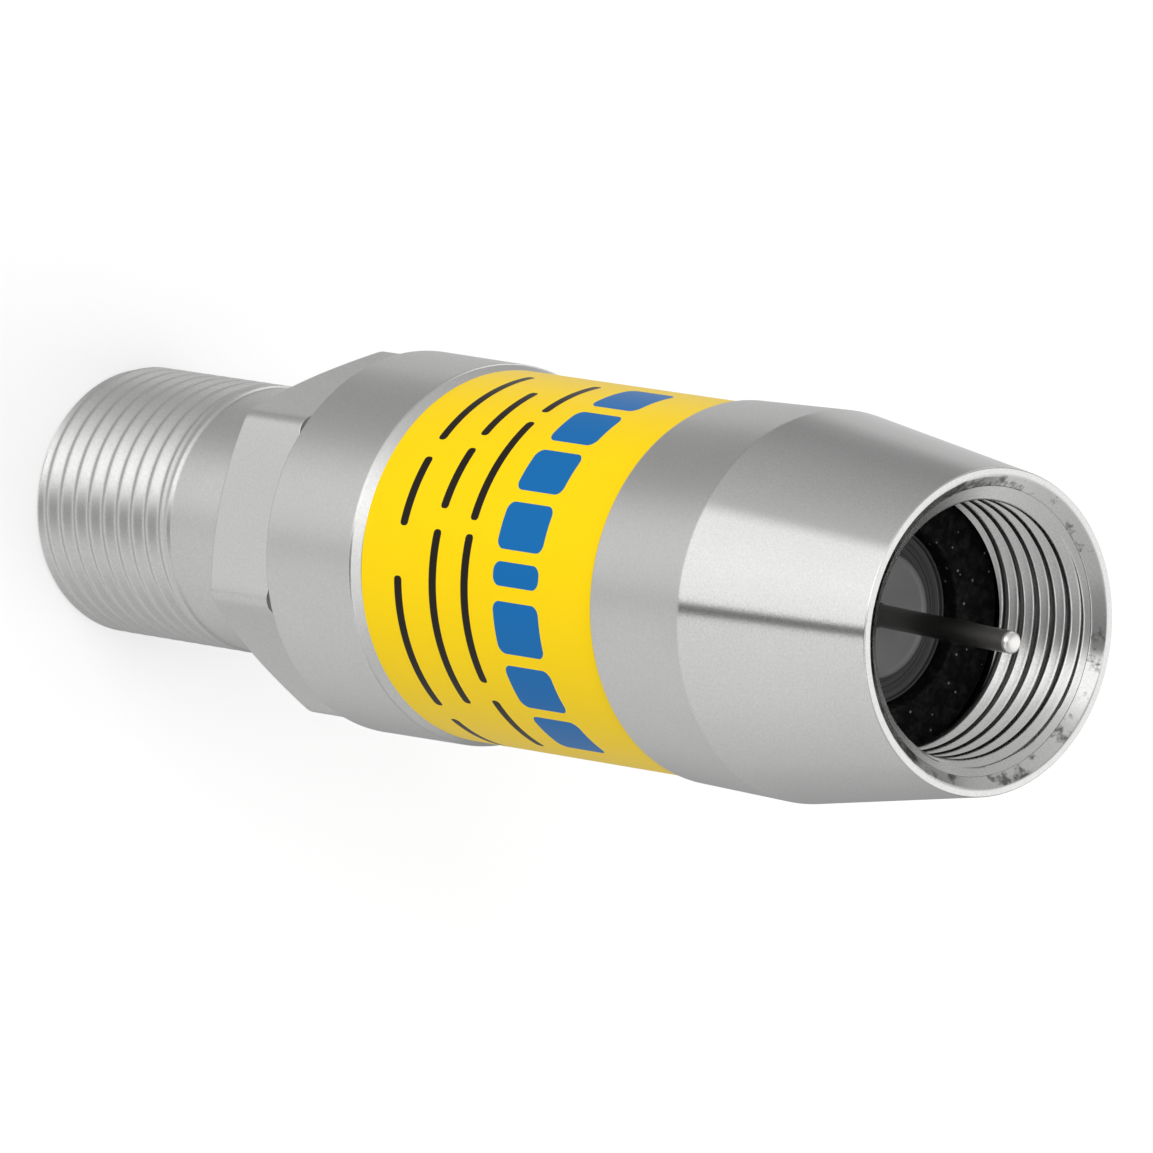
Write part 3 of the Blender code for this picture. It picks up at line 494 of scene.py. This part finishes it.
# Socket insulator. A white polyethylene bead pressed into the socket's mouth,
# with a funnel that leads a plug's pin in.
white_polyethylene = moulded("natural_polyethylene", ("#E9E7DF", "#DEDCD3"), roughness=0.42,
                             grain_width=0.07 * MM, grain_depth=0.0015 * MM)
even_angles = np.radians(np.arange(0, 360, 2.5))
bead_outline = [(1.00, 0.35), (2.95, 0.35), (3.20, 0.60), (3.20, 2.60), (2.50, 2.60), (2.50, 4.40),
                (1.35, 4.40), (1.35, 2.90), (0.65, 2.90), (0.65, 0.75)]
bead_radii, bead_heights = soft_outline(np.array(bead_outline) * MM, 0.08 * MM)
socket_bead = turned("socket_bead", bead_radii, bead_heights, even_angles, white_polyethylene)
socket_bead.data.set_sharp_from_angle(angle=SHARP_EDGE)
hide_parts("socket_insulator")
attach(socket_bead, "root")


# Socket contact and its support bead. A slotted sleeve of phosphor bronze on
# a shank, carried by a plastic bead; both are CAD solids deep in the bore.
contact_bronze = satin_nickel("phosphor_bronze", ("#C9935A", "#B9824C"), roughness=0.30,
                              ring_width=0.04 * MM, grain_width=0.06 * MM, ring_depth=0.001 * MM,
                              grain_depth=0.001 * MM)
finish_node("socket_contact", contact_bronze)
bead_plastic = moulded("cream_acetal", ("#E3DDCB", "#D8D1BE"), roughness=0.45, grain_width=0.06 * MM,
                       grain_depth=0.0015 * MM)
finish_node("contact_support_bead", bead_plastic)


# Earth ring. A tinned brass washer between the spigot and the tube's seat,
# soldered to the board's edge.
tinned_brass = satin_nickel("tinned_brass", ("#CFCFCB", "#BDBDB8"), roughness=0.38,
                            ring_width=0.08 * MM, grain_width=0.12 * MM, ring_depth=0.001 * MM,
                            grain_depth=0.003 * MM)
finish_node("earth_ring", tinned_brass)


# Circuit board. Green solder mask over woven glass laminate; the weave shows
# as a faint check under the lacquer.
BOARD_WEAVE = 0.785 * MM


def glass_laminate():
    """Epoxy glass board: two sines of x and z that repeat every BOARD_WEAVE, multiplied, under a glossy
    green mask. A wave texture repeats every pi / 10 divided by its scale."""
    material = bpy.data.materials.new("glass_laminate")
    material.use_nodes = True
    tree = material.node_tree
    shader = tree.nodes["Principled BSDF"]
    where = add(tree, "TexCoord").outputs["Object"]
    woven = {"Vector": where, "Scale": math.pi / 10 / BOARD_WEAVE, "Distortion": 0.4}
    warp = add(tree, "TexWave", woven, bands_direction="X")
    weft = add(tree, "TexWave", woven, bands_direction="Z")
    weave = add(tree, "Math", {0: warp.outputs["Fac"], 1: weft.outputs["Fac"]}, operation="MULTIPLY")
    tint = add(tree, "Mix", {0: weave.outputs[0], 6: linear("#0F4A28"), 7: linear("#1B6B3A")},
               data_type="RGBA")
    bumped = add(tree, "Bump", {"Height": weave.outputs[0], "Strength": 1.0, "Distance": 0.003 * MM})
    tree.links.new(tint.outputs[2], shader.inputs["Base Color"])
    tree.links.new(bumped.outputs[0], shader.inputs["Normal"])
    shader.inputs["Roughness"].default_value = 0.28
    shader.inputs["Coat Weight"].default_value = 0.4
    return material


finish_node("circuit_board", glass_laminate())


# Coil, chip capacitors, gas arrester and earth spring. Bought parts soldered
# to the board: lacquered copper wire, fired ceramic, and bright spring bronze.
lacquered_copper = satin_nickel("lacquered_copper", ("#B5683A", "#9E5529"), roughness=0.26,
                                ring_width=0.05 * MM, grain_width=0.08 * MM, ring_depth=0.0006 * MM,
                                grain_depth=0.001 * MM)
finish_node("matching_coil", lacquered_copper)
chip_ceramic = moulded("fired_barium_ceramic", ("#B79A72", "#A4875F"), roughness=0.5,
                       grain_width=0.03 * MM, grain_depth=0.001 * MM)
finish_node("chip_capacitor_rear", chip_ceramic)
finish_node("chip_capacitor_front", chip_ceramic)
glazed_alumina = moulded("glazed_alumina", ("#EFEDE6", "#E3E0D7"), roughness=0.25,
                         grain_width=0.08 * MM, grain_depth=0.001 * MM)
finish_node("gas_arrester", glazed_alumina)
finish_node("earth_spring", contact_bronze)


# Main housing. Tube, recess for the label, front land and cone nose are one
# turned brass sleeve; inside the nose are its thread and the web at its root.
NOSE_EDGE = 37.25 * MM
NOSE_THREAD_REAR = 40.82 * MM
NOSE_THREAD_FRONT = 45.18 * MM
NOSE_THREAD_INNER = 4.42 * MM
NOSE_THREAD_OUTER = 4.73 * MM
# The same four as for the barrel's thread
NOSE_THREAD = ((0.0, 0.0), (0.10, 0.0), (0.28, 0.07), (0.51, 0.95), (0.58, 1.0), (0.75, 1.0), (0.98, 0.0),
               (1.0, 0.0))
NOSE_WEAR = 0.03
NOSE_PHASE = 0.22
NOSE_ROWS = 24
NOSE_LEAD_END = 44.80 * MM
NOSE_LEAD_SLOPE = 1.35
NOSE_UNDERCUT = 5.00 * MM
NOSE_UNDERCUT_STEP = 0.06 * MM
# Roughness of the turned nose and of the bore inside this radius
NOSE_ROUGHNESS = 0.13
BORE_RADIUS = 4.96 * MM
BORE_ROUGHNESS = 0.24
# The mouth's chamfer: its middle's radius, its half width and where it starts; then the stains on it
CHAMFER_MIDDLE = 5.13 * MM
CHAMFER_HALF = 0.2 * MM
CHAMFER_START = 45.10 * MM
STAIN_WIDTH = 1.3 * MM
STAIN_RANGE = (0.53, 0.62)
STAIN_COLOUR = "#6E6E6C"
nose_angles = np.radians(np.arange(0, 360, 1.25))


def housing_rows():
    """Radii and heights of the housing: rear end, outside, rim, then down the bore. In the nose the
    radius is the thread's inner one plus its height times the depth, never less than the lead cone, and
    it opens to the undercut at the rear."""
    columns = len(nose_angles)
    outside = [(5.90, 15.26), (6.65, 15.26), (6.73, 15.34), (6.70, 19.83), (6.42, 20.11), (6.41, 20.13),
               (6.41, 32.50), (6.56, 32.50), (6.64, 32.58), (6.76, 37.25), (5.60, 45.52), (5.57, 45.55),
               (5.34, 45.55), (4.95, 45.23), (4.93, 45.21)]
    inside = [(5.00, 40.60), (5.00, 39.25), (3.40, 39.25), (3.40, 37.95), (2.60, 37.95), (2.60, 36.65),
              (5.40, 36.65), (5.40, 19.63), (5.90, 19.63)]
    corners = np.array(outside + inside) * MM
    radii, heights = soft_outline(corners, 0.06 * MM)
    per_corner = len(radii) // len(corners)
    cut_at = per_corner * len(outside)
    thread_heights = np.arange(NOSE_THREAD_FRONT, NOSE_THREAD_REAR, -THREAD_PITCH / NOSE_ROWS)
    z = thread_heights[:, None] * np.ones(columns)
    turns = z / THREAD_PITCH - nose_angles / (2 * math.pi) + NOSE_PHASE
    depth = thread_depth(turns, NOSE_THREAD, NOSE_WEAR)
    threaded = NOSE_THREAD_INNER + (NOSE_THREAD_OUTER - NOSE_THREAD_INNER) * depth
    threaded = np.maximum(threaded, NOSE_THREAD_INNER + (z - NOSE_LEAD_END) * NOSE_LEAD_SLOPE)
    opened = np.clip((z - NOSE_THREAD_REAR) / NOSE_UNDERCUT_STEP, 0, 1)
    threaded = NOSE_UNDERCUT + (threaded - NOSE_UNDERCUT) * opened
    radii, heights = [np.repeat(a[:, None], columns, 1) for a in (radii, heights)]
    return (np.vstack([radii[:cut_at], threaded, radii[cut_at:]]),
            np.vstack([heights[:cut_at], z, heights[cut_at:]]))


def stain_mouth(material):
    """Tarnish on the mouth's chamfer: grey where a noise STAIN_WIDTH wide passes through STAIN_RANGE, at
    radii within CHAMFER_HALF of the chamfer's middle and above its start."""
    tree = material.node_tree
    where = add(tree, "TexCoord").outputs["Object"]
    height = add(tree, "SeparateXYZ", {0: where}).outputs["Z"]
    patches = add(tree, "TexNoise", {"Vector": where, "Scale": 1 / STAIN_WIDTH, "Detail": 4.0,
                                     "Roughness": 0.7})
    stain = add(tree, "MapRange", {0: patches.outputs["Fac"], 1: STAIN_RANGE[0], 2: STAIN_RANGE[1]})
    chamfer = add(tree, "Math", {0: radius_of(tree, where), 1: CHAMFER_MIDDLE, 2: CHAMFER_HALF},
                  operation="COMPARE")
    mouth = add(tree, "Math", {0: height, 1: CHAMFER_START}, operation="GREATER_THAN")
    there = add(tree, "Math", {0: chamfer.outputs[0], 1: mouth.outputs[0]}, operation="MULTIPLY")
    share = add(tree, "Math", {0: there.outputs[0], 1: stain.outputs[0]}, operation="MULTIPLY")
    tint_over(material, share, STAIN_COLOUR)


housing_nickel = satin_nickel("polished_nickel_plate", ("#CFCFCE", "#C0C0BF"), roughness=0.30,
                              ring_width=0.05 * MM, grain_width=0.08 * MM, ring_depth=0.0004 * MM,
                              grain_depth=0.0008 * MM,
                              polish=(NOSE_EDGE, NOSE_ROUGHNESS, BORE_RADIUS, BORE_ROUGHNESS))
stain_mouth(housing_nickel)
housing_radii, housing_heights = housing_rows()
housing = turned("turned_housing", housing_radii, housing_heights, nose_angles, housing_nickel)
housing.data.set_sharp_from_angle(angle=math.radians(60))
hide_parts("main_housing")
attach(housing, "root")


# Front insulator. A stepped bead moulded in dark grey plastic; it centres the
# pin in the web, and its rings show at the bottom of the nose.
INSULATOR_DISC = 2.18 * MM


def ringed_plastic():
    """Moulded polyamide with a paler disc: its colour darkens where the radius passes the disc's."""
    material = moulded("dark_grey_polyamide", ("#6A6A6B", "#606061"), roughness=0.40,
                       grain_width=0.06 * MM, grain_depth=0.002 * MM)
    tree = material.node_tree
    where = add(tree, "TexCoord").outputs["Object"]
    rings = add(tree, "MapRange", {0: radius_of(tree, where), 1: INSULATOR_DISC - 0.02 * MM,
                                   2: INSULATOR_DISC + 0.02 * MM})
    tint_over(material, rings, "#3C3C3D")
    return material


insulator_outline = [(0.41, 36.65), (2.30, 36.65), (2.30, 38.25), (3.12, 38.25), (3.12, 39.72),
                     (3.04, 39.74), (3.02, 39.58), (2.82, 39.56), (2.80, 39.62), (2.62, 39.63),
                     (2.60, 39.56), (2.40, 39.56), (2.38, 39.62), (2.20, 39.63), (2.18, 39.92),
                     (2.05, 39.94), (1.95, 39.90), (0.41, 39.90)]
insulator_radii, insulator_heights = soft_outline(np.array(insulator_outline) * MM, 0.04 * MM)
front_insulator = turned("stepped_front_insulator", insulator_radii, insulator_heights, even_angles,
                         ringed_plastic())
front_insulator.data.set_sharp_from_angle(angle=SHARP_EDGE)
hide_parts("front_insulator")
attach(front_insulator, "root")


# Centre pin. Nickel-plated brass wire with a rounded tip that stands proud of
# the nose's rim, bent a hair sideways; its tail is soldered to the board.
PIN_RADIUS = 0.39 * MM
PIN_TIP = 46.70 * MM
PIN_TIP_RISE = 0.20 * MM
PIN_LEAN = 0.22 / 7.0
PIN_LEAN_FROM = 39.9 * MM
# Height above which the tip is painted pale: a painted highlight
PIN_PAINTED_HIGHLIGHT = 46.64 * MM


def wire_with_painted_shade_and_highlight():
    """Nickel-plated wire, shaft painted darker as shade and tip end painted pale as a highlight."""
    # The shaft's darker nickel is painted shade
    material = satin_nickel("nickel_wire_painted_shade_and_highlight", ("#908F8C", "#858380"), roughness=0.30,
                            ring_width=0.05 * MM, grain_width=0.07 * MM, ring_depth=0.0004 * MM,
                            grain_depth=0.0003 * MM)
    tree = material.node_tree
    where = add(tree, "TexCoord").outputs["Object"]
    height = add(tree, "SeparateXYZ", {0: where}).outputs["Z"]
    # Painted highlight: the end of the tip is tinted pale above this height
    painted_tip_highlight = add(tree, "MapRange", {0: height, 1: PIN_PAINTED_HIGHLIGHT, 2: PIN_PAINTED_HIGHLIGHT + 0.03 * MM})
    tint_over(material, painted_tip_highlight, "#DCDBD8")
    return material


pin_nickel = wire_with_painted_shade_and_highlight()
# The tip is a blunt dome: its radius falls as the cosine to the power 0.6, its height rises as the sine
tip = np.linspace(0, math.pi / 2, 13)[:-1]
tip_radii = PIN_RADIUS * np.cos(tip) ** 0.6
tip_heights = PIN_TIP + PIN_TIP_RISE * np.sin(tip)
shaft_radii = np.array([0.20, 0.33, 0.39, 0.39, 0.39, 0.42, 1.14, 1.20, 1.20, 1.14, 0.42, 0.39, 0.39, 0.39])
shaft_heights = np.array([31.35, 31.35, 31.41, 31.60, 35.80, 35.85, 35.85, 35.91, 36.29, 36.35, 36.35,
                          36.38, 39.90, 46.60])
pin_radii = np.concatenate([shaft_radii * MM, tip_radii])
pin_heights = np.concatenate([shaft_heights * MM, tip_heights])
centre_pin = turned("turned_centre_pin", pin_radii, pin_heights, np.radians(np.arange(0, 360, 7.5)),
                    pin_nickel, on_axis=True)
# The bend: beyond the insulator, x grows by the lean times the height above it
pin_points = np.empty(len(centre_pin.data.vertices) * 3)
centre_pin.data.vertices.foreach_get("co", pin_points)
pin_points = pin_points.reshape(-1, 3)
pin_points[:, 0] += np.maximum(pin_points[:, 2] - PIN_LEAN_FROM, 0) * PIN_LEAN
centre_pin.data.vertices.foreach_set("co", pin_points.ravel())
centre_pin.data.set_sharp_from_angle(angle=SHARP_EDGE)
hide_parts("centre_pin")
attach(centre_pin, "root")


# Nose seal. A flat ring of black rubber on the bottom of the nose; a plug's
# rim closes on it. Its matt face holds pale specks of dust.
DUST_CLOUD = 0.3 * MM
SPECK_CELL = 0.28 * MM
SPECK_RADIUS = 0.17 * SPECK_CELL
SPECK_SHARE = 0.2


def dusty_rubber():
    """Black rubber with a dull skin, clouded by dust in patches of DUST_CLOUD. SPECK_SHARE of the cells
    of a cell noise hold a pale speck: there the distance to the cell's point is under SPECK_RADIUS."""
    material = moulded("black_seal_rubber", ("#060606", "#0C0C0C"), roughness=0.75,
                       grain_width=0.05 * MM, grain_depth=0.004 * MM, specular=0.12)
    tree = material.node_tree
    where = add(tree, "TexCoord").outputs["Object"]
    clouds = add(tree, "TexNoise", {"Vector": where, "Scale": 1 / DUST_CLOUD, "Detail": 5.0,
                                    "Roughness": 0.7})
    film = add(tree, "MapRange", {0: clouds.outputs["Fac"], 1: 0.45, 2: 0.75})
    cells = add(tree, "TexVoronoi", {"Vector": where, "Scale": 1 / SPECK_CELL, "Randomness": 1.0})
    chance = add(tree, "TexWhiteNoise", {"Vector": cells.outputs["Position"]})
    speck = add(tree, "Math", {0: cells.outputs["Distance"], 1: SPECK_RADIUS / SPECK_CELL},
                operation="LESS_THAN")
    rare = add(tree, "Math", {0: chance.outputs["Value"], 1: 1 - SPECK_SHARE}, operation="GREATER_THAN")
    dust = add(tree, "Math", {0: speck.outputs[0], 1: rare.outputs[0]}, operation="MULTIPLY")
    tint_over(material, film, "#262625")
    tint_over(material, dust, "#6E6E6C")
    return material


seal_outline = [(3.18, 39.31), (4.94, 39.31), (4.94, 40.35), (3.18, 40.35)]
seal_radii, seal_heights = soft_outline(np.array(seal_outline) * MM, 0.12 * MM, 6)
nose_seal = turned("nose_seal_washer", seal_radii, seal_heights, even_angles, dusty_rubber())
nose_seal.data.set_sharp_from_angle(angle=SHARP_EDGE)
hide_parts("nose_seal_ring")
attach(nose_seal, "root")


# Label. A strip of yellow polyester film printed in blue and black, wound once
# round the recess and lapped over its own end at the back.
LABEL_REAR = 20.22 * MM
LABEL_FRONT = 32.43 * MM
LABEL_RADIUS = 6.50 * MM
LABEL_LAP = 0.03 * MM
FILM_THICKNESS = 0.07 * MM
# In millimetres: the blue row's height, half its width, its round corners, and each block's middle and
# width along the arc; then half the width and the corners of the black rows, and their heights and dashes
BLUE_ROW = 28.45
BLUE_HALF = 1.2
BLUE_CORNER = 0.35
BLUE_BLOCKS = ((-7.33, 2.0), (-5.03, 1.7), (-2.88, 1.7), (-0.73, 1.7), (0.97, 0.85), (2.87, 1.9),
               (5.17, 1.8), (7.47, 1.9))
BLACK_HALF = 0.2
BLACK_CORNER = 0.15
BLACK_ROWS = ((22.2, ((-5.8, 4.6), (-1.45, 2.6), (4.2, 5.2), (9.1, 3.0))),
              (24.05, ((-5.3, 2.7), (-2.15, 2.4), (3.1, 6.6))),
              (25.75, ((-6.8, 2.6), (-2.8, 4.2), (2.5, 5.4), (7.4, 2.8))))
MOTTLE_WIDTH = 1.111 * MM
RIPPLE_WIDTH = 1.429 * MM


def printed_film():
    """Glossy yellow film: rows of plain blue blocks and black dashes, laid out by the arc round the tube,
    which is the angle times the label's radius, and the height along it, both in millimetres."""
    material = bpy.data.materials.new("printed_polyester_film")
    material.use_nodes = True
    tree = material.node_tree
    shader = tree.nodes["Principled BSDF"]
    where = add(tree, "TexCoord").outputs["Object"]
    axes = add(tree, "SeparateXYZ", {0: where})
    y_front = add(tree, "Math", {0: axes.outputs["Y"], 1: -1.0}, operation="MULTIPLY")
    angle = add(tree, "Math", {0: axes.outputs["X"], 1: y_front.outputs[0]}, operation="ARCTAN2")
    arc = add(tree, "Math", {0: angle.outputs[0], 1: LABEL_RADIUS / MM}, operation="MULTIPLY")
    height = add(tree, "Math", {0: axes.outputs["Z"], 1: 1 / MM}, operation="MULTIPLY")

    def bar(middle, width, row, half, corner):
        """1 inside a bar with round corners: its distance is the length of (|arc - middle| - width / 2 +
        corner, |height - row| - half + corner), each at least 0, and ink is where that is less than the
        corner."""
        sides = []
        for value, centre, reach in ((arc, middle, width / 2), (height, row, half)):
            off = add(tree, "Math", {0: value.outputs[0], 1: centre}, operation="SUBTRACT")
            far = add(tree, "Math", {0: off.outputs[0]}, operation="ABSOLUTE")
            past = add(tree, "Math", {0: far.outputs[0], 1: reach - corner}, operation="SUBTRACT")
            sides.append(add(tree, "Math", {0: past.outputs[0], 1: 0.0}, operation="MAXIMUM").outputs[0])
        squares = [add(tree, "Math", {0: side, 1: side}, operation="MULTIPLY").outputs[0] for side in sides]
        total = add(tree, "Math", {0: squares[0], 1: squares[1]})
        return add(tree, "Math", {0: total.outputs[0], 1: corner ** 2}, operation="LESS_THAN").outputs[0]

    def either(marks):
        """1 where any of the marks is."""
        ink = marks[0]
        for mark in marks[1:]:
            ink = add(tree, "Math", {0: ink, 1: mark}, operation="MAXIMUM").outputs[0]
        return ink

    blue = either([bar(middle, width, BLUE_ROW, BLUE_HALF, BLUE_CORNER) for middle, width in BLUE_BLOCKS])
    black = either([bar(middle, width, row, BLACK_HALF, BLACK_CORNER) for row, dashes in BLACK_ROWS
                    for middle, width in dashes])
    mottle = add(tree, "TexNoise", {"Vector": where, "Scale": 1 / MOTTLE_WIDTH, "Detail": 2.0})
    film = add(tree, "Mix", {0: mottle.outputs["Fac"], 6: linear("#FFD900"), 7: linear("#FED600")},
               data_type="RGBA")
    with_blue = add(tree, "Mix", {0: blue, 6: film.outputs[2], 7: linear("#0B6AAE")}, data_type="RGBA")
    inked = add(tree, "Mix", {0: black, 6: with_blue.outputs[2], 7: linear("#1C1610")}, data_type="RGBA")
    ripple = add(tree, "TexNoise", {"Vector": where, "Scale": 1 / RIPPLE_WIDTH, "Detail": 2.0})
    bumped = add(tree, "Bump", {"Height": ripple.outputs["Fac"], "Strength": 1.0, "Distance": 0.004 * MM})
    tree.links.new(inked.outputs[2], shader.inputs["Base Color"])
    tree.links.new(bumped.outputs[0], shader.inputs["Normal"])
    shader.inputs["Roughness"].default_value = 0.32
    shader.inputs["Specular IOR Level"].default_value = 0.1
    return material


# The columns run once round from the lap at the back, two of them side by side at the lap's edge; the
# radius grows by the lap times the share of the round to the sixth power, so that only the end lifts
label_angles = np.radians(90.0 + np.concatenate([[0.0], np.linspace(0.2, 359.8, 300)]))
wind = np.linspace(0, 1, len(label_angles)) ** 6
label_corners = np.array([(LABEL_RADIUS - FILM_THICKNESS, LABEL_REAR), (LABEL_RADIUS, LABEL_REAR),
                          (LABEL_RADIUS, LABEL_FRONT), (LABEL_RADIUS - FILM_THICKNESS, LABEL_FRONT)])
label_radii, label_heights = soft_outline(label_corners, 0.02 * MM)
outer_share = (label_radii - label_radii.min()) / (label_radii.max() - label_radii.min())
label_radii = label_radii[:, None] + outer_share[:, None] * (LABEL_LAP * wind)[None, :]
label_heights = np.repeat(label_heights[:, None], len(label_angles), 1)
label = turned("wrapped_label", label_radii, label_heights, label_angles, printed_film())
label.data.set_sharp_from_angle(angle=SHARP_EDGE)
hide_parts("label")
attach(label, "root")
